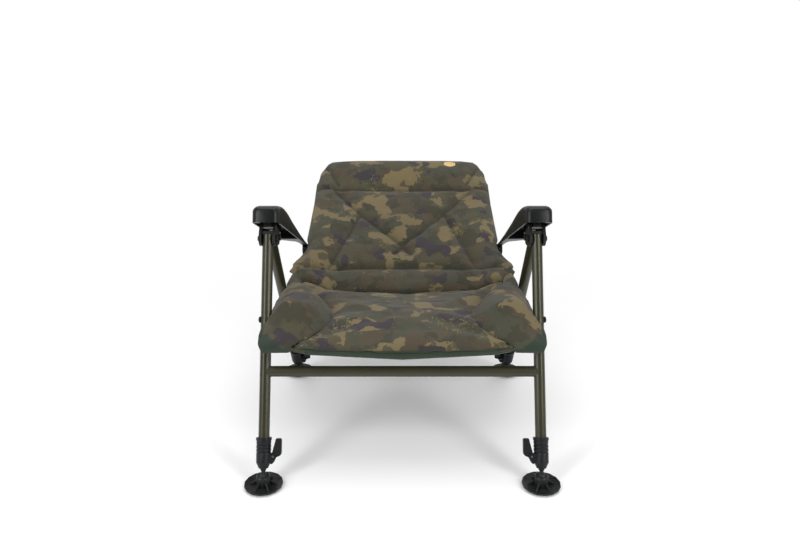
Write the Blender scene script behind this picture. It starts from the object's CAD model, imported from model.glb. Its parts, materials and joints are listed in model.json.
# %% [markdown]
# # A reclining fishing chair in Blender
# The chair stands on four telescopic legs with dished mud feet. A padded seat hangs between its
# front legs, and a quilted back reclines behind it. The metal and plastic parts come from a packed
# CAD model, which fixes every size and joint. This lesson dresses that model: it rounds the rigid
# pieces, stuffs the cushions, sews the slings and gives every surface its finish.

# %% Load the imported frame
import json
from math import cos, exp, hypot, pi, radians, sin

import bmesh
import bpy
from mathutils import Matrix, Vector, noise
from mathutils.bvhtree import BVHTree

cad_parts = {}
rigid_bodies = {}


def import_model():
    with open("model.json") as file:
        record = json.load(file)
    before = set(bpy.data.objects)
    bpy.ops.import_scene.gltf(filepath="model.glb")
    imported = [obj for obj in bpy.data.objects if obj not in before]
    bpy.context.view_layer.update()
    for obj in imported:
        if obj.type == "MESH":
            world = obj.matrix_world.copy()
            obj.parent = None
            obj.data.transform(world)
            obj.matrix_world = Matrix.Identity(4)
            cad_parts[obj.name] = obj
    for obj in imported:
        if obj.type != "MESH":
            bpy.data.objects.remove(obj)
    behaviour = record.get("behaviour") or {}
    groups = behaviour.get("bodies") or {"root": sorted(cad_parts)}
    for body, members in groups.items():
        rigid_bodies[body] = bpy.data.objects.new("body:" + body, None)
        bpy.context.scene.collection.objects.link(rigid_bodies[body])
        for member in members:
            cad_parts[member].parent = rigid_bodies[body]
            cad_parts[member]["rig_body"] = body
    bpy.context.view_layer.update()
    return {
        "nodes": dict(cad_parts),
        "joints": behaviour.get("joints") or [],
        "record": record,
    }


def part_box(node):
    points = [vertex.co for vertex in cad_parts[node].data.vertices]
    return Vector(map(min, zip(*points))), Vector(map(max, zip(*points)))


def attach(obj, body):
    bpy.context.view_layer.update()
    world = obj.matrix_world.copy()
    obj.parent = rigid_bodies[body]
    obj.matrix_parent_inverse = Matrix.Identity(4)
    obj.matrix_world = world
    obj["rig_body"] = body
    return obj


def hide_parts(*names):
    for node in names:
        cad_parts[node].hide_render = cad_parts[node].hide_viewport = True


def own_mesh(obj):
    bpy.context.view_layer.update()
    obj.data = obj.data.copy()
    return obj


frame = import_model()

scene = bpy.context.scene
millimetre = 0.001
nodes = frame["nodes"]
pivots = {joint["name"]: Vector(joint["pos_m"]) for joint in frame["joints"] if "pos_m" in joint}

# %% [markdown]
# ## The camera
# The photo was taken from the front, at about hip height and a little over a metre ahead of the
# front feet. The lens, the height and the tilt were worked out from where the feet, the joints and
# the tubes lie in the photo, so the camera is set from numbers and not by eye.

# %% Place the camera
photo_width = 800
focal_pixels = 692.6
sensor_width = 36.0
camera_height = 0.8779
camera_ahead_of_feet = 1.225
pitch_down = radians(18.07)
chair_centre_pixel = 402.4
front_feet = sum(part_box("mud_foot_front_left"), Vector()) / 2

lens = bpy.data.cameras.new("camera")
lens.sensor_width = sensor_width
lens.lens = sensor_width * focal_pixels / photo_width
lens.shift_x = (photo_width / 2 - chair_centre_pixel) / photo_width
camera = bpy.data.objects.new("camera", lens)
camera.location = (0, front_feet.y - camera_ahead_of_feet, camera_height)
camera.rotation_euler = (pi / 2 - pitch_down, 0, 0)
scene.collection.objects.link(camera)
scene.camera = camera
print("lens", round(lens.lens, 2), "mm at", [round(v, 3) for v in camera.location])

# %% [markdown]
# ## Shader sums written as Python
# Every finish here is a small recipe of noise and bump. Writing each Math node by hand hides the
# recipe, so one class wraps a socket and lets plain sums make the nodes.

# %% A socket that can be added up
class Signal:
    """A shader socket whose sums add their own Math nodes."""

    def __init__(self, recipe, socket):
        self.recipe = recipe
        self.socket = socket

    def sum_with(self, operation, other):
        return self.recipe.node("ShaderNodeMath", {"operation": operation}, {0: self, 1: other})

    def __add__(self, other):
        return self.sum_with("ADD", other)

    __radd__ = __add__

    def __mul__(self, other):
        return self.sum_with("MULTIPLY", other)

    __rmul__ = __mul__

    def most(self, other):
        return self.sum_with("MAXIMUM", other)


print("a socket can be added to, multiplied and compared")


# %% A recipe of nodes
class Recipe:
    """One material's nodes, with its Principled shader ready."""

    def __init__(self, name, **fixed):
        self.material = bpy.data.materials.new(name)
        self.material.use_nodes = True
        self.tree = self.material.node_tree
        self.tree.nodes.clear()
        self.output = self.tree.nodes.new("ShaderNodeOutputMaterial")
        self.shader = self.tree.nodes.new("ShaderNodeBsdfPrincipled")
        self.tree.links.new(self.shader.outputs["BSDF"], self.output.inputs["Surface"])
        for socket, value in fixed.items():
            self.set(self.shader.inputs[socket.replace("_", " ")], value)

    def set(self, target, value):
        if isinstance(value, Signal):
            self.tree.links.new(value.socket, target)
        elif hasattr(value, "__len__") and len(value) == 3 and target.type == "RGBA":
            target.default_value = (*value, 1)
        else:
            target.default_value = value

    def node(self, kind, settings=None, inputs=None, output=0):
        made = self.tree.nodes.new(kind)
        for name, value in (settings or {}).items():
            setattr(made, name, value)
        for name, value in (inputs or {}).items():
            self.set(made.inputs[name], value)
        return Signal(self, made.outputs[output])

    def place(self):
        return self.node("ShaderNodeTexCoord", output="Object")

    def stretched(self, scale, turn=(0, 0, 0), shift=(0, 0, 0), source=None):
        return self.node("ShaderNodeMapping", inputs={
            "Vector": source or self.place(), "Scale": scale, "Rotation": turn, "Location": shift})

    def noise(self, scale, detail, rough=0.5, source=None, output=0):
        return self.node("ShaderNodeTexNoise", inputs={
            "Vector": source or self.place(), "Scale": scale, "Detail": detail,
            "Roughness": rough}, output=output)

    def attribute(self, name):
        return self.node("ShaderNodeAttribute", {"attribute_name": name}, output="Fac")

    def torn(self, source, scale, reach):
        """A place pulled out of line by a colour noise, which tears the edges of a pattern."""
        pull = self.noise(scale, detail=4.0, rough=0.6, source=source, output="Color")
        return self.node("ShaderNodeVectorMath", {"operation": "MULTIPLY_ADD"}, {
            0: pull, 1: (reach, reach, reach), 2: source})

    def weave(self, scale):
        """Threads along each axis, as three sets of bands added up."""
        first, second, third = (
            self.node("ShaderNodeTexWave", {"wave_type": "BANDS", "bands_direction": way}, {
                "Vector": self.place(), "Scale": scale, "Distortion": 1.2}) for way in "XYZ")
        return first * 0.4 + second * 0.4 + third * 0.2

    def step(self, value, low, high):
        return self.node("ShaderNodeMapRange", {"interpolation_type": "SMOOTHSTEP"}, {
            "Value": value, "From Min": low, "From Max": high})

    def blend(self, share, first, second):
        """Two colours mixed. A Mix node has its colours at inputs 6 and 7 and output 2."""
        return self.node("ShaderNodeMix", {"data_type": "RGBA"},
                         {0: share, 6: first, 7: second}, output=2)

    def bump(self, height, strength, distance):
        return self.node("ShaderNodeBump", inputs={
            "Height": height, "Strength": strength, "Distance": distance})

    def finish(self, colour, roughness, normal):
        for socket, value in (
                ("Base Color", colour), ("Roughness", roughness), ("Normal", normal)):
            self.set(self.shader.inputs[socket], value)
        return self.material


def paint(*screen):
    """A colour as a screen shows it, from 0 to 255, as the linear light a shader wants."""
    shares = [channel / 255 for channel in screen]
    return tuple(share / 12.92 if share <= 0.04045 else ((share + 0.055) / 1.055) ** 2.4
                 for share in shares)


print("a screen's middle grey is", round(paint(128)[0], 3), "of its white in light")

# %% [markdown]
# ## Metal and plastic
# The tubes wear a satin olive coat. The knuckles and feet are moulded in near-black plastic with a
# faint grain, and the clamps in a bluer one. The armrests are the darkest and smoothest, with a
# soft gloss on top. Paint is never quite even, so each finish moves a little in tone and in gloss.

# %% Olive tube paint
grain_height = 0.0002


def olive_paint():
    recipe = Recipe("olive_paint", Metallic=0.3, Specular_IOR_Level=0.6)
    cloudy = recipe.noise(scale=14.0, detail=3.0)
    grain = recipe.noise(scale=1500.0, detail=2.0)
    scuffs = recipe.step(recipe.noise(scale=60.0, detail=6.0, rough=0.7), low=0.62, high=0.78)
    tone = recipe.blend(cloudy, paint(45, 45, 27), paint(58, 57, 37))
    worn = recipe.blend(scuffs * 0.25, tone, paint(110, 108, 84))
    dullness = 0.3 + cloudy * 0.08 + scuffs * 0.15
    return recipe.finish(worn, dullness, recipe.bump(grain, 0.12, grain_height))


finishes = {"frame_tube": olive_paint()}
print("finish:", finishes["frame_tube"].name)


# %% Moulded plastics
def moulded(name, dark, light, smooth, rough, grain_size=900.0, grain_strength=0.25):
    recipe = Recipe(name, Specular_IOR_Level=0.3)
    cloudy = recipe.noise(scale=22.0, detail=3.0)
    grain = recipe.noise(scale=grain_size, detail=3.0, rough=0.6)
    dust = recipe.step(recipe.noise(scale=90.0, detail=7.0, rough=0.75), low=0.58, high=0.8)
    dust_share = 0.12
    tone = recipe.blend(cloudy, dark, light)
    dusty = recipe.blend(dust * dust_share, tone, paint(96, 94, 86))
    dullness = smooth + (rough - smooth) * cloudy + dust * dust_share
    return recipe.finish(dusty, dullness, recipe.bump(grain, grain_strength, grain_height))


finishes["dark_plastic"] = moulded(
    "dark_plastic", paint(24, 25, 26), paint(36, 37, 38), smooth=0.34, rough=0.5)
finishes["cam_plastic"] = moulded(
    "cam_plastic", paint(12, 15, 18), paint(21, 25, 28), smooth=0.38, rough=0.52)
finishes["armrest_plastic"] = moulded(
    "armrest_plastic", paint(10, 12, 13), paint(17, 18, 19), smooth=0.3, rough=0.42,
    grain_size=1400.0, grain_strength=0.04)
print("plastics:", ", ".join(name for name in finishes if "plastic" in name))


# %% Steel and black steel
def steel(name, dark, light, metallic, rough):
    recipe = Recipe(name, Metallic=metallic)
    brushed = recipe.noise(scale=60.0, detail=3.0, source=recipe.stretched((1, 12, 12)))
    tone = recipe.blend(brushed, dark, light)
    dullness = rough + brushed * 0.12
    return recipe.finish(tone, dullness, recipe.bump(brushed, 0.1, grain_height))


finishes["dark_steel"] = steel(
    "dark_steel", paint(30, 31, 33), paint(48, 49, 51), metallic=0.6, rough=0.36)
finishes["bright_steel"] = steel(
    "bright_steel", paint(112, 112, 110), paint(150, 150, 148), metallic=1.0, rough=0.3)
print("finishes:", ", ".join(finishes))

# %% [markdown]
# ## Camouflage cloth
# The cloth is a brushed, padded cover with a printed camouflage: soft blobs of grey-green, olive
# brown, khaki and a dark plum, with torn edges and a few pale specks. This one is a plain pattern
# of its own. Each colour is one noise field cut at a level, and the fields are pulled out of
# shape by a second noise, which tears their edges the way printed camouflage has them.

# %% Camouflage cloth
def camouflage(name, turn, shift):
    recipe = Recipe(name, Specular_IOR_Level=0.2, Sheen_Weight=0.1, Sheen_Roughness=0.6)
    bent = recipe.torn(recipe.place(), scale=22.0, reach=0.05)
    pulled = recipe.torn(bent, scale=85.0, reach=0.014)

    def patches(size, move, cut, wide=(1.0, 1.0, 1.0), soft=0.006):
        at = recipe.stretched(wide, turn, [a + b for a, b in zip(move, shift)], pulled)
        field = recipe.noise(size, detail=1.0, rough=0.4, source=at)
        return recipe.step(field, cut - soft, cut + soft)

    olive = patches(12.0, (0.3, 0.1, 0.7), cut=0.5, soft=0.02)
    green = patches(15.0, (3.1, 1.7, 0.2), cut=0.54)
    brown = patches(19.0, (2.2, 9.1, 3.3), cut=0.575)
    khaki = patches(14.5, (7.7, 4.2, 5.1), cut=0.57, wide=(0.85, 1.15, 1.0))
    shade = patches(34.0, (1.9, 7.2, 4.6), cut=0.6)
    plum = patches(17.0, (5.5, 2.8, 8.8), cut=0.63)
    fine = recipe.noise(150.0, detail=3.0, rough=0.6, source=pulled)
    specks = recipe.step(fine, 0.67, 0.69) * patches(9.0, (1.1, 6.6, 2.4), cut=0.53, soft=0.05)
    drawn = recipe.noise(190.0, detail=3.0, rough=0.6, source=recipe.stretched((1.0, 0.45, 1.6)))
    sprigs = recipe.step(drawn, 0.56, 0.6) * patches(10.0, (4.4, 3.9, 1.2), cut=0.66, soft=0.02)
    worn = recipe.noise(7.0, detail=4.0, rough=0.55)

    colour = paint(72, 67, 50)
    for share, ink in (
            (olive, (57, 55, 41)), (green, (65, 66, 53)), (brown, (73, 63, 48)),
            (khaki, (112, 99, 69)), (shade * 0.75, (60, 57, 45)), (plum, (52, 45, 51)),
            (specks * 0.7, (146, 136, 102)), (sprigs * 0.7, (112, 110, 62)),
            (worn * 0.35, (62, 60, 50)), (recipe.attribute("lining"), (42, 53, 42)),
            (recipe.attribute("seam") * 0.6, (30, 30, 25))):
        colour = recipe.blend(share, colour, paint(*ink))
    nap = recipe.weave(330.0) + recipe.noise(420.0, detail=3.0, rough=0.6) * 0.6
    return recipe.finish(colour, 0.86 + worn * 0.1, recipe.bump(nap, 0.3, 0.0004))


seat_cloth = camouflage("seat_camouflage", turn=(0.2, 0.1, 0.4), shift=(0.0, 0.0, 0.0))
wing_cloth = camouflage("wing_camouflage", turn=(0.5, 0.3, 1.1), shift=(2.0, 1.0, 4.0))
back_cloth = camouflage("back_camouflage", turn=(0.1, 0.5, 0.2), shift=(6.0, 3.0, 1.0))
print("camouflage of", len(seat_cloth.node_tree.nodes), "nodes on seat, wings and back")


# %% Green backing and the plain patch
def backing_cloth():
    recipe = Recipe("backing_cloth", Specular_IOR_Level=0.25, Sheen_Weight=0.1,
                    Sheen_Roughness=0.5)
    worn = recipe.noise(scale=12.0, detail=4.0)
    tone = recipe.blend(worn, paint(38, 49, 38), paint(54, 65, 51))
    return recipe.finish(tone, 0.82 + worn * 0.1, recipe.bump(recipe.weave(260.0), 0.4, 0.0005))


def woven_patch():
    """The bare oval patch: a pale stitched rim round a warm plain middle."""
    recipe = Recipe("woven_patch", Specular_IOR_Level=0.3)
    worn = recipe.noise(scale=90.0, detail=3.0)
    tone = recipe.blend(recipe.attribute("rim"), paint(222, 164, 72), paint(226, 208, 160))
    tone = recipe.blend(worn * 0.25, tone, paint(196, 172, 116))
    return recipe.finish(tone, 0.6 + worn * 0.15, recipe.bump(recipe.weave(900.0), 0.5, 0.0003))


green_cloth = backing_cloth()
patch_cloth = woven_patch()
print("plain cloths:", green_cloth.name, "and", patch_cloth.name)

# %% [markdown]
# ## Rounding the rigid pieces
# The CAD nodes are right in size but flat-shaded, with knife edges. A real moulding has a small
# radius on every edge, and it is that radius which catches the light. Each rigid node is copied,
# its loose triangles are merged, nearly flat ones dissolved, and a bevel rounds what is left. Bent
# tubes have no edges to round, so they are only smoothed.

# %% Copy a node and round its edges
merge_distance = 0.01 * millimetre
flat_angle = radians(0.8)
sharp_angle = radians(32.0)
slots = {part["node"]: part["material_slot"] for part in frame["record"]["subparts"]}


def merged_copy(node):
    mesh = nodes[node].data.copy()
    shape = bmesh.new()
    shape.from_mesh(mesh)
    bmesh.ops.remove_doubles(shape, verts=shape.verts, dist=merge_distance)
    shape.to_mesh(mesh)
    shape.free()
    mesh.name = node + "_shape"
    return mesh


def link(name, mesh, material):
    piece = bpy.data.objects.new(name, mesh)
    scene.collection.objects.link(piece)
    mesh.materials.clear()
    mesh.materials.append(material)
    return piece


def rounded(node, radius):
    """Replaces a rigid node by a smooth-shaded copy with its sharp edges rounded."""
    mesh = merged_copy(node)
    shape = bmesh.new()
    shape.from_mesh(mesh)
    bmesh.ops.dissolve_limit(
        shape, angle_limit=flat_angle, verts=shape.verts, edges=shape.edges)
    shape.to_mesh(mesh)
    shape.free()
    mesh.shade_smooth()
    mesh.set_sharp_from_angle(angle=sharp_angle)
    slot = slots[node]
    piece = link(node + "_finished", mesh, finishes[slot])
    if radius:
        bevel = piece.modifiers.new("rounded_edges", "BEVEL")
        bevel.width = radius * millimetre
        bevel.segments = 2
        bevel.limit_method = "ANGLE"
        bevel.angle_limit = sharp_angle
        bevel.harden_normals = True
        bevel.use_clamp_overlap = True
    body = nodes[node]["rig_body"]
    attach(piece, body)
    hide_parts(node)


print("nodes wear", len(set(slots.values())), "material slots")

# %% Round every rigid node
# Radii in millimetres, each for the nodes whose name holds its word and no word before it.
edge_radii = {
    "armrest_left": 1.2, "armrest_right": 1.2, "knuckle": 1.0, "cam_lever": 1.2, "cam_collar": 0.5,
    "mud_foot": 0.7, "hinge_plate": 0.5, "bolt": 0.6, "pin": 0.4, "peg": 0.8, "spacer": 0.6,
    "armrest_pivot": 0.6, "_leg": 0.4, "crossbar": 0.0, "frame": 0.0,
}
soft_nodes = ("cushion", "wing", "sling", "hem")
rigid = [name for name in nodes if not any(word in name for word in soft_nodes)]
for name in rigid:
    rounded(name, next(size for word, size in edge_radii.items() if word in name))
print("rounded", len(rigid), "rigid nodes")

# %% [markdown]
# ## Stuffing a cushion
# A cushion is a sewn bag that its filling pushes outwards, held back along its seams. The recipe
# follows that: copy the CAD cushion's plain form, remesh it evenly, press the sewn channels in,
# pin them and the underside, and let a cloth simulation blow the rest up a little. The swelling
# is capped, because the cushion has to stay clear of the frame round it.

# %% Apply modifiers, and measure how far off a seam is
def settle(piece):
    """Applies a piece's modifiers to its mesh."""
    graph = bpy.context.evaluated_depsgraph_get()
    finished = bpy.data.meshes.new_from_object(piece.evaluated_get(graph))
    piece.modifiers.clear()
    piece.data = finished


def distance_to_line(x, y, line):
    gaps = []
    for (x0, y0), (x1, y1) in zip(line, line[1:]):
        run = hypot(x1 - x0, y1 - y0)
        share = max(0.0, min(1.0, ((x - x0) * (x1 - x0) + (y - y0) * (y1 - y0)) / (run * run)))
        gaps.append(hypot(x - x0 - share * (x1 - x0), y - y0 - share * (y1 - y0)))
    return min(gaps)


print("3 across and 4 up from a line's end is", distance_to_line(3, 4, [(-9, 0), (0, 0)]), "off")


# %% The cushion
class Cushion:
    """A padded piece, with the place of its own flat frame in the chair's frame."""

    voxel = 5.0 * millimetre
    channel_depth = 9.0
    channel_width = 7.5
    lined_below = -0.25
    pinned_below = -0.15
    least_hold = 0.02
    cloth_frames = 18
    creased_above = 0.1
    noise_slice = 3.0

    def __init__(self, node, place, material, seams=(), lining=lambda point: False):
        self.node = node
        self.lining = lining
        self.place = place
        self.up = (place.to_3x3() @ Vector((0, 0, 1))).normalized()
        self.seams = seams
        self.piece = link(node + "_sewn", merged_copy(node), material)
        remesh = self.piece.modifiers.new("even", "REMESH")
        remesh.mode = "VOXEL"
        remesh.voxel_size = self.voxel
        settle(self.piece)

    def flat(self, point):
        """Where a point lies in the cushion's own frame, in millimetres."""
        return (self.place.inverted() @ point) / millimetre

    def facings(self):
        """How far each vertex faces up, from -1 to 1."""
        return [vertex.normal.dot(self.up) for vertex in self.piece.data.vertices]

    def reshape(self, moved):
        """Moves every point by a rule in the cushion's own frame, told how far it faces up."""
        for vertex, facing in zip(self.piece.data.vertices, self.facings()):
            vertex.co = self.place @ (moved(self.flat(vertex.co), facing) * millimetre)

    def nearness(self, point):
        """How near a seam is, from 0 to 1."""
        flat = self.flat(point)
        gaps = [distance_to_line(flat.x, flat.y, line) for line in self.seams]
        return exp(-((min(gaps) / self.channel_width) ** 2)) if gaps else 0.0

    def sew(self):
        """Presses the channels in on the top side, marks them, and pins what the seams hold."""
        mesh = self.piece.data
        facings = self.facings()
        nears = [self.nearness(vertex.co) if facing > 0 else 0.0
                 for vertex, facing in zip(mesh.vertices, facings)]
        for vertex, facing, near in zip(mesh.vertices, facings, nears):
            vertex.co -= self.up * (self.channel_depth * near * max(0.0, facing) * millimetre)
        marks = mesh.attributes.new("seam", "FLOAT", "POINT")
        marks.data.foreach_set("value", [near ** 3 for near in nears])
        lined = [float(facing < self.lined_below or self.lining(self.flat(vertex.co)))
                 for vertex, facing in zip(mesh.vertices, facings)]
        mesh.attributes.new("lining", "FLOAT", "POINT").data.foreach_set("value", lined)
        pinned = self.piece.vertex_groups.new(name="pinned")
        for index, (facing, near) in enumerate(zip(facings, nears)):
            hold = 1.0 if facing < self.pinned_below else near ** 4
            if hold > self.least_hold:
                pinned.add([index], hold, "REPLACE")

    def stuff(self, cap):
        """Swells the cushion with a cloth simulation, and caps how far each point moves."""
        mesh = self.piece.data
        start = [vertex.co.copy() for vertex in mesh.vertices]
        cloth = self.piece.modifiers.new("stuffing", "CLOTH")
        rules = cloth.settings
        rules.use_pressure = True
        rules.uniform_pressure_force = 4.0
        rules.effector_weights.gravity = 0
        rules.vertex_group_mass = "pinned"
        rules.quality = 4
        rules.mass = 0.3
        rules.tension_stiffness = 20
        rules.compression_stiffness = 12
        rules.shear_stiffness = 8
        rules.bending_stiffness = 0.8
        for number in range(1, self.cloth_frames + 1):
            scene.frame_set(number)
        graph = bpy.context.evaluated_depsgraph_get()
        swollen = self.piece.evaluated_get(graph).to_mesh()
        moved = [vertex.co.copy() for vertex in swollen.vertices]
        self.piece.modifiers.clear()
        scene.frame_set(1)
        most = 0.0
        for vertex, old, new in zip(mesh.vertices, start, moved):
            step = new - old
            if step.length > cap * millimetre:
                step = step.normalized() * cap * millimetre
            most = max(most, step.length)
            vertex.co = old + step
        print(self.node, "swelled by up to", round(most / millimetre, 1), "mm")

    def crease(self, size, stretch, turn, scale):
        """Adds the shallow folds that loose cloth has, with finer and lower ones on them."""
        finer, lower = 2.3, 0.5
        for vertex in self.piece.data.vertices:
            facing = vertex.normal.dot(self.up)
            if facing < self.creased_above:
                continue
            flat = self.flat(vertex.co) * millimetre
            along = flat.x * cos(turn) + flat.y * sin(turn)
            across = flat.y * cos(turn) - flat.x * sin(turn)
            spot = Vector((along * scale, across * scale * stretch, self.noise_slice))
            fold = noise.noise(spot) + lower * noise.noise(spot * finer)
            vertex.co += self.up * fold * size * millimetre * facing

    def finish(self, body, joint, axis, anchor, keep, fill):
        smooth = self.piece.modifiers.new("smooth", "SMOOTH")
        smooth.iterations = 6
        smooth.factor = 0.5
        settle(self.piece)
        self.piece.data.shade_smooth()
        fine = self.piece.modifiers.new("fine", "SUBSURF")
        fine.levels = fine.render_levels = 1
        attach(self.piece, body)
        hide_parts(self.node)
        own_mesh(self.piece)
        print(self.node, len(self.piece.data.vertices), "vertices")


print("a cushion is remeshed every", round(Cushion.voxel / millimetre, 1), "mm")


# %% Eased steps, short tables and where the pads lie
def between(value, low, high):
    """How far a value is from low to high, eased at both ends."""
    share = max(0.0, min(1.0, (value - low) / (high - low)))
    return share * share * (3 - 2 * share)


def read_off(table, value):
    """A size from a short table of (place, size), straight between its rows."""
    for (low, first), (high, last) in zip(table, table[1:]):
        if value <= high:
            return first + (last - first) * max(0.0, (value - low) / (high - low))
    return table[-1][1]


def sign(value):
    return 1 if value > 0 else -1


seat_turn = radians(8)
back_turn = radians(27)
seat_place = Matrix.Translation(pivots["seat_fold"]) @ Matrix.Rotation(-seat_turn, 4, "X")
back_place = Matrix.Translation(pivots["back_fold"]) @ Matrix.Rotation(back_turn, 4, "X")
seat_up = seat_place.to_3x3() @ Vector((0, 0, 1))
back_up = back_place.to_3x3() @ Vector((0, 0, 1))
print("seat faces", [round(v, 2) for v in seat_up], "back", [round(v, 2) for v in back_up])

# %% [markdown]
# ## The back cushion
# The back is quilted: a seam under the head, one across the hips, a diamond of slanting seams
# between them, and a short slanting seam in each top corner. Seams and outline are measured from
# the back's hinge, in millimetres across and up the pad.

# %% Draw the back's seams and outline
back_seams = [[(-250, 366), (250, 366)]]
for line in ([(0, 43), (120, 41), (200, 33), (256, 27)], [(0, 127), (118, 256), (200, 362)],
             [(118, 256), (194, 36)], [(0, 127), (22, 94)], [(230, 466), (190, 384)]):
    back_seams += [line, [(-x, y) for x, y in line]]

# Half widths by height, of the pad in the CAD model and of the pad with its real hips.
solid_half = [(-32, 257), (10, 284), (24, 287), (38, 284), (60, 272), (84, 257), (403, 257),
              (503, 253)]
real_half = [(-32, 266), (-9, 280), (12, 290), (32, 289), (62, 283), (88, 273), (112, 261),
             (138, 259), (152, 264), (222, 261), (342, 257), (453, 253), (503, 252)]
print(len(back_seams), "seams, hips", 2 * max(half for height, half in real_half), "mm wide")

# %% The back's fuller shape
# Sizes in millimetres. Each pair says where a change sets in and where it is full.
back_sag = 26.0
back_sag_half = 245
foot_fill = 0.4
hip_tuck = 12.0
head_rise = 9.0
width_slack = 1.5
facing_up = (-0.3, 0.5)
outer_hips = (190, 250)
hollow_end = (430, 500)
foot_fill_end = (-40, 30)
outer_tuck = (205, 260)
tuck_end = (-20, 30)
head = (420, 500)


def fuller_back(point, facing):
    """Widens the hips, fills the hollow over the sling and tucks the lower edge in at the seat."""
    half = abs(point.x)
    edge = read_off(real_half, point.y)
    wider = (edge - read_off(solid_half, point.y)) * between(half, *outer_hips)
    point.x = sign(point.x) * min(half + wider, edge + width_slack)
    hollow = back_sag * max(0.0, 1 - (half / back_sag_half) ** 2)
    point.z += hollow * between(facing, *facing_up) * (1 - between(point.y, *hollow_end))
    point.z += foot_fill * hollow * (1 - between(point.y, *foot_fill_end))
    point.y -= hip_tuck * between(half, *outer_tuck) * (1 - between(point.y, *tuck_end))
    point.y += head_rise * between(point.y, *head)
    return point


print("the back's hollow of", back_sag, "mm is filled")

# %% Sew and stuff the back
back = Cushion("back_cushion", back_place, back_cloth, back_seams)
back.reshape(fuller_back)
back.sew()
back.stuff(cap=10.0)
back.crease(size=1.8, stretch=3.0, turn=0.3, scale=11.0)
# As the back folds, its pad flattens towards a plane just above the tubes' middles.
back_anchor = tuple(back_place @ Vector((0, 0, 0.002)))
back_keep = 0.5
back.finish("back", "back_fold", back_up, back_anchor, back_keep, fill=0.6)

# %% [markdown]
# ## The seat cushion and its wings
# The seat is a broad pad that wraps over the front bar. Two lobes are sewn on at its sides, and
# they slope up over the rails, past the front legs. They are measured from the bolts that the seat
# turns on, in millimetres across, back and up.

# %% Sew and stuff the seat
seat_sag = 16.0
seat_sag_half = 200
seat_spread = 15.0
less_spread_behind = 8.0
seat_behind = (180, 290)
seat_sides = (60, 150)
hollow_start = (-60, 40)


def fuller_seat(point, facing):
    """Pushes the sides under the wings and fills the hollow over the sling."""
    half = abs(point.x)
    spread = seat_spread - less_spread_behind * between(point.y, *seat_behind)
    point.x += sign(point.x) * spread * between(half, *seat_sides)
    hollow = (seat_sag * max(0.0, 1 - (half / seat_sag_half) ** 2)
              * between(point.y, *hollow_start))
    point.z += hollow * between(facing, *facing_up)
    return point


seat = Cushion("seat_cushion", seat_place, seat_cloth)
seat.reshape(fuller_seat)
seat.sew()
seat.stuff(cap=7.0)
seat.crease(size=4.5, stretch=2.6, turn=0.12, scale=8.0)
seat.crease(size=2.6, stretch=3.0, turn=-0.5, scale=11.0)
# As the back folds onto it, the seat flattens towards a plane 8 mm above the rails' middles.
seat_anchor = tuple(seat_place @ Vector((0, 0.15, 0.008)))
seat.finish("seat", "back_fold", seat_up, seat_anchor, keep=0.7, fill=0.55)

# %% Where the green flap of a wing begins
wing_tip = (300.0, -4.0)
wing_seam_foot = (226.0, -54.0)
front_flap = -45


def below_wing_seam(point):
    """Whether a point of a wing's front flap is under the slanting seam, in the green backing."""
    share = (abs(point.x) - wing_seam_foot[0]) / (wing_tip[0] - wing_seam_foot[0])
    seam = wing_seam_foot[1] + share * (wing_tip[1] - wing_seam_foot[1])
    return point.y < front_flap and point.z < seam


print("the flap's seam rises from", wing_seam_foot, "to", wing_tip)

# %% A wing's flatter shape
outer_drop = 11.0
front_drop = 10.0
inner_press = 17.0
rear_press = 9.0
inner_rise = 3.0
rim_growth = 1.0
flap_press = 10.0
rear_growth = 15.0
wing_facing_up = (-0.2, 0.5)
outer_part = (235, 282)
inner_part = (150, 250)
behind_front = (0, 160)
outer_drop_end = (200, 270)
outer_front = (245, 292)
above_flap = (-45, -10)
rear_press_part = (215, 275)
outer_rim = (270, 300)
down_flap = (22, 58)
rear_end = (200, 282)


def flatter_wing(point, facing):
    """Flattens a wing's outer half, rounds its rear end and presses it against the seat's pad."""
    half = abs(point.x)
    side = sign(point.x)
    top = between(facing, *wing_facing_up)
    outer = between(half, *outer_part)
    inner = 1 - between(half, *inner_part)
    forward = 1 - between(point.y, *behind_front)
    point.z -= outer_drop * outer * top * (1 - between(point.y, *outer_drop_end))
    point.z -= front_drop * between(half, *outer_front) * forward * between(point.z, *above_flap)
    behind = between(point.y, *rear_press_part)
    point.x -= side * (inner_press * inner + rear_press * behind * (1 - outer))
    point.z += inner_rise * inner * top
    on_flap = between(-point.z, *down_flap)
    point.x += side * between(half, *outer_rim) * (rim_growth - flap_press * on_flap)
    point.y += rear_growth * between(point.y, *rear_end)
    return point


print("a wing is pressed", inner_press, "mm towards the seat's middle")

# %% Sew and stuff the wings
# As the legs fold together, each wing draws in towards a plane inside its own seam.
wing_inside = 0.17
wing_crease_turn = 0.9
for side in ("left", "right"):
    wing = Cushion("seat_wing_" + side, seat_place, wing_cloth, lining=below_wing_seam)
    wing.reshape(flatter_wing)
    wing.sew()
    wing.stuff(cap=5.0)
    turn = wing_crease_turn if side == "left" else -wing_crease_turn
    wing.crease(size=2.0, stretch=2.6, turn=turn, scale=9.0)
    inside = (wing_inside * sign(wing.piece.data.vertices[0].co.x), 0, 0)
    wing.finish("seat", "seat_fold", (1, 0, 0), inside, keep=0.6, fill=0.6)

# %% [markdown]
# ## Slings and hem
# Under the pads a green cloth is stretched between the tubes, sewn into a sleeve round each. It is
# one flat cut of cloth, so it is made as one: a cross line that goes round the first tube, sags
# across and goes round the second is extruded along the tubes, then given its thickness. The hem
# is a narrower cut, rolled round the front bar.

# %% The slings' cross line
tube_radius = 10.0
cloth_thickness = 1.6
sleeve_radius = tube_radius + cloth_thickness
rail_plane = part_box("seat_frame")[1].x / millimetre - tube_radius
sleeve_wrap = radians(345)
sleeve_steps = 16
sag_steps = 26


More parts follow.
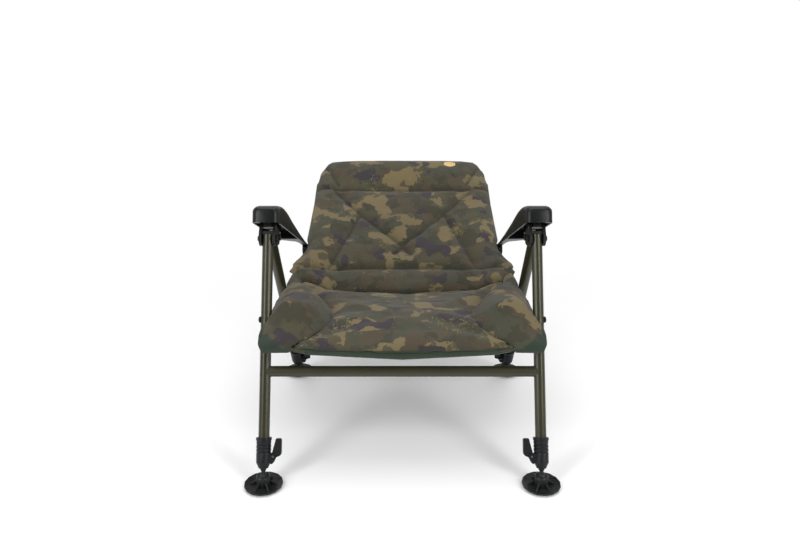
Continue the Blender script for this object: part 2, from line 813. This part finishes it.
def round_tube(across, level, start):
    turns = [start + sleeve_wrap * step / sleeve_steps for step in range(sleeve_steps + 1)]
    return [(across + sleeve_radius * cos(turn), level + sleeve_radius * sin(turn))
            for turn in turns]


def sling_line(level, sag):
    half = rail_plane - sleeve_radius
    line = round_tube(rail_plane, level, pi - sleeve_wrap)
    for step in range(1, sag_steps):
        across = half * (1 - 2 * step / sag_steps)
        line.append((across, level - sag * (1 - (across / half) ** 2)))
    return line + round_tube(-rail_plane, level, 0.0)


print("rails", round(2 * rail_plane), "mm apart, cross line of", len(sling_line(0, 1)), "points")


# %% Extrude a cut of cloth
def woven(node, place, body, line, steps):
    """A cloth from its cross line, extruded by steps, both in millimetres of its own frame."""
    shape = bmesh.new()
    row = [shape.verts.new(point) for point in line]
    edges = [shape.edges.new(pair) for pair in zip(row, row[1:])]
    for step in steps:
        grown = bmesh.ops.extrude_edge_only(shape, edges=edges)["geom"]
        row = {part for part in grown if isinstance(part, bmesh.types.BMVert)}
        edges = [part for part in grown
                 if isinstance(part, bmesh.types.BMEdge) and row.issuperset(part.verts)]
        bmesh.ops.translate(shape, verts=list(row), vec=step)
    area = sum(face.calc_area() for face in shape.faces) * millimetre ** 2
    bmesh.ops.recalc_face_normals(shape, faces=shape.faces)
    bmesh.ops.transform(shape, matrix=place @ Matrix.Scale(millimetre, 4), verts=shape.verts)
    mesh = bpy.data.meshes.new(node + "_cloth")
    shape.to_mesh(mesh)
    shape.free()
    piece = link(node + "_cloth", mesh, green_cloth)
    wall = piece.modifiers.new("thickness", "SOLIDIFY")
    wall.thickness = cloth_thickness * millimetre
    wall.offset = 0.0
    settle(piece)
    piece.data.shade_smooth()
    piece.data.set_sharp_from_angle(angle=radians(50))
    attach(piece, body)
    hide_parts(node)
    print(node, len(piece.data.vertices), "points,", round(area, 3), "square metres")
    return piece, area


# %% Stretch the slings
sling_rows = 24


def stretched_sling(node, place, body, start, end, level, sag):
    line = [(x, start, z) for x, z in sling_line(level, sag)]
    steps = [(0, (end - start) / sling_rows, 0)] * sling_rows
    piece, area = woven(node, place, body, line, steps)
    run = (end - start) * millimetre
    area / run


stretched_sling("seat_sling", seat_place, "seat",
                start=20.0, end=282.0, level=0.0, sag=48.0)
stretched_sling("back_sling", back_place, "back",
                start=45.0, end=413.0, level=-24.0, sag=30.0)

# %% Roll the hem round the bowed front bar
bar_ahead = 51.0
bar_drop = 46.0
bar_bow = 13.0
hem_half = 198.0
hem_rows = 15
hem_start = radians(100)
fall = bar_bow / rail_plane
hem_level = -bar_drop - (rail_plane - hem_half) * fall
hem_line = [(-hem_half, y, z) for y, z in round_tube(-bar_ahead, hem_level, hem_start)]
hem_step = hem_half / hem_rows
down = [(hem_step, 0, -hem_step * fall)] * hem_rows
up = [(hem_step, 0, hem_step * fall)] * hem_rows
hem, hem_area = woven("seat_hem", seat_place, "seat", hem_line, down + up)
hem_run = 2 * hem_half * millimetre
hem_area / hem_run

# %% [markdown]
# ## The bare patch
# The photo shows a small oval patch sewn on near the back's top corner. It is left plain here: an
# oval cut, inset for its rim, laid on the cushion by dropping each of its points on it.

# %% Lay the patch on the cushion
patch_middle = Vector((143.0, 466.0, 0.0))
patch_half = Vector((18.0, 13.0, 1.0))
patch_lift = 0.8
rim_width = 0.17
rim_from = 0.8
drop_height = 0.1
patch = bmesh.new()
bmesh.ops.create_circle(patch, cap_ends=True, segments=48, radius=1.0)
rim_faces = bmesh.ops.inset_region(patch, faces=patch.faces[:], thickness=rim_width)["faces"]
middle = [face for face in patch.faces if face not in rim_faces]
bmesh.ops.poke(patch, faces=middle)
bmesh.ops.scale(patch, verts=patch.verts, vec=patch_half)
bmesh.ops.translate(patch, verts=patch.verts, vec=patch_middle)
bmesh.ops.transform(patch, matrix=back_place @ Matrix.Scale(millimetre, 4), verts=patch.verts)
cushion_skin = BVHTree.FromObject(back.piece, bpy.context.evaluated_depsgraph_get())
for vertex in patch.verts:
    landed = cushion_skin.ray_cast(vertex.co + back_up * drop_height, -back_up)[0]
    vertex.co = landed + back_up * patch_lift * millimetre
patch_mesh = bpy.data.meshes.new("bare_patch")
patch.to_mesh(patch_mesh)
patch.free()
offsets = [back.flat(vertex.co).xy - patch_middle.xy for vertex in patch_mesh.vertices]
rim = [float(hypot(at.x / patch_half.x, at.y / patch_half.y) > rim_from) for at in offsets]
patch_mesh.attributes.new("rim", "FLOAT", "POINT").data.foreach_set("value", rim)
print("patch of", len(patch_mesh.polygons), "faces,", int(sum(rim)), "points on its rim")

# %% Sew the patch on
patch_thickness = 1.2
patch_piece = link("bare_patch", patch_mesh, patch_cloth)
patch_wall = patch_piece.modifiers.new("thickness", "SOLIDIFY")
patch_wall.thickness = patch_thickness * millimetre
patch_wall.offset = 0.0
patch_piece.data.shade_smooth()
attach(patch_piece, "back")
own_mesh(patch_piece)
print("patch", patch_thickness, "mm thick, squashed with the back's cushion")

# %% [markdown]
# ## Studio
# The photo is a catalogue shot: a white floor and broad soft lamps left and right, which draw two
# long highlights down each tube. What faces the camera is dark between them, so the room's own
# light is dim ahead of the chair. The camera itself sees plain white behind it.

# %% A floor that fades to white
floor_half = 30.0
shadow_near = 0.55
shadow_gone = 1.25


def floor_material():
    """Pale and matt, with the chair's shadow near it, and plain white further off."""
    recipe = Recipe("pale_floor", Roughness=0.9, Specular_IOR_Level=0.1,
                    Base_Color=(0.9, 0.9, 0.9), Emission_Color=(1, 1, 1), Emission_Strength=0.12)
    white = recipe.tree.nodes.new("ShaderNodeEmission")
    mix = recipe.tree.nodes.new("ShaderNodeMixShader")
    rays = recipe.tree.nodes.new("ShaderNodeLightPath").outputs
    seen, mirrored = (Signal(recipe, rays[name]) for name in ("Is Camera Ray", "Is Glossy Ray"))
    distance = recipe.node(
        "ShaderNodeVectorMath", {"operation": "LENGTH"}, {0: recipe.place()}, "Value")
    fade = recipe.step(distance, shadow_near, shadow_gone)
    recipe.set(mix.inputs[0], seen.most(mirrored) * fade)
    links = recipe.tree.links
    links.new(recipe.shader.outputs["BSDF"], mix.inputs[1])
    links.new(white.outputs["Emission"], mix.inputs[2])
    links.new(mix.outputs["Shader"], recipe.output.inputs["Surface"])
    return recipe.material


sweep = bmesh.new()
bmesh.ops.create_grid(sweep, x_segments=1, y_segments=1, size=floor_half)
floor_mesh = bpy.data.meshes.new("floor")
sweep.to_mesh(floor_mesh)
sweep.free()
floor = link("floor", floor_mesh, floor_material())
print("floor white from", shadow_gone, "m on")

# %% The room's light
light_ahead = 0.16
light_around = 0.62
plain_white = 1.0
ahead_from, ahead_to = -0.75, -0.1

world = bpy.data.worlds.new("studio")
scene.world = world
world.use_nodes = True
sky = world.node_tree
light_path = sky.nodes.new("ShaderNodeLightPath")
seen = sky.nodes.new("ShaderNodeMath")
seen.operation = "MAXIMUM"
sky.links.new(light_path.outputs["Is Camera Ray"], seen.inputs[0])
sky.links.new(light_path.outputs["Is Transmission Ray"], seen.inputs[1])
ahead = sky.nodes.new("ShaderNodeMapRange")
ahead.inputs["From Min"].default_value = ahead_from
ahead.inputs["From Max"].default_value = ahead_to
direction = sky.nodes.new("ShaderNodeSeparateXYZ")
sky.links.new(sky.nodes.new("ShaderNodeTexCoord").outputs["Generated"], direction.inputs[0])
sky.links.new(direction.outputs["Y"], ahead.inputs["Value"])


def backdrop(strength):
    shader = sky.nodes.new("ShaderNodeBackground")
    shader.inputs["Strength"].default_value = strength
    shader.inputs["Color"].default_value = (1, 1, 1, 1)
    return shader.outputs["Background"]


def mixed(factor, first, second):
    mix = sky.nodes.new("ShaderNodeMixShader")
    for socket, source in zip(mix.inputs, (factor, first, second)):
        sky.links.new(source, socket)
    return mix.outputs["Shader"]


room = mixed(ahead.outputs[0], backdrop(light_ahead), backdrop(light_around))
sky.links.new(mixed(seen.outputs[0], room, backdrop(plain_white)),
              sky.nodes["World Output"].inputs["Surface"])
print("room light", light_ahead, "ahead and", light_around, "around")


# %% Lamps
def lamp(name, place, aim, size, watts):
    data = bpy.data.lights.new(name, "AREA")
    data.shape = "RECTANGLE"
    data.size, data.size_y = size
    data.energy = watts
    made = bpy.data.objects.new(name, data)
    made.location = place
    made.rotation_euler = (Vector(aim) - Vector(place)).to_track_quat("-Z", "Y").to_euler()
    scene.collection.objects.link(made)
    print(name, watts, "watts")


softbox = {"aim": (0, -0.1, 0.3), "size": (0.5, 1.6), "watts": 24}
lamp("left_softbox", (-1.5, -1.75, 1.4), **softbox)
lamp("right_softbox", (1.5, -1.75, 1.4), **softbox)
lamp("overhead", (0, 0.2, 2.6), aim=(0, 0, 0), size=(2.4, 2.0), watts=31)
scene.view_settings.view_transform = "Standard"
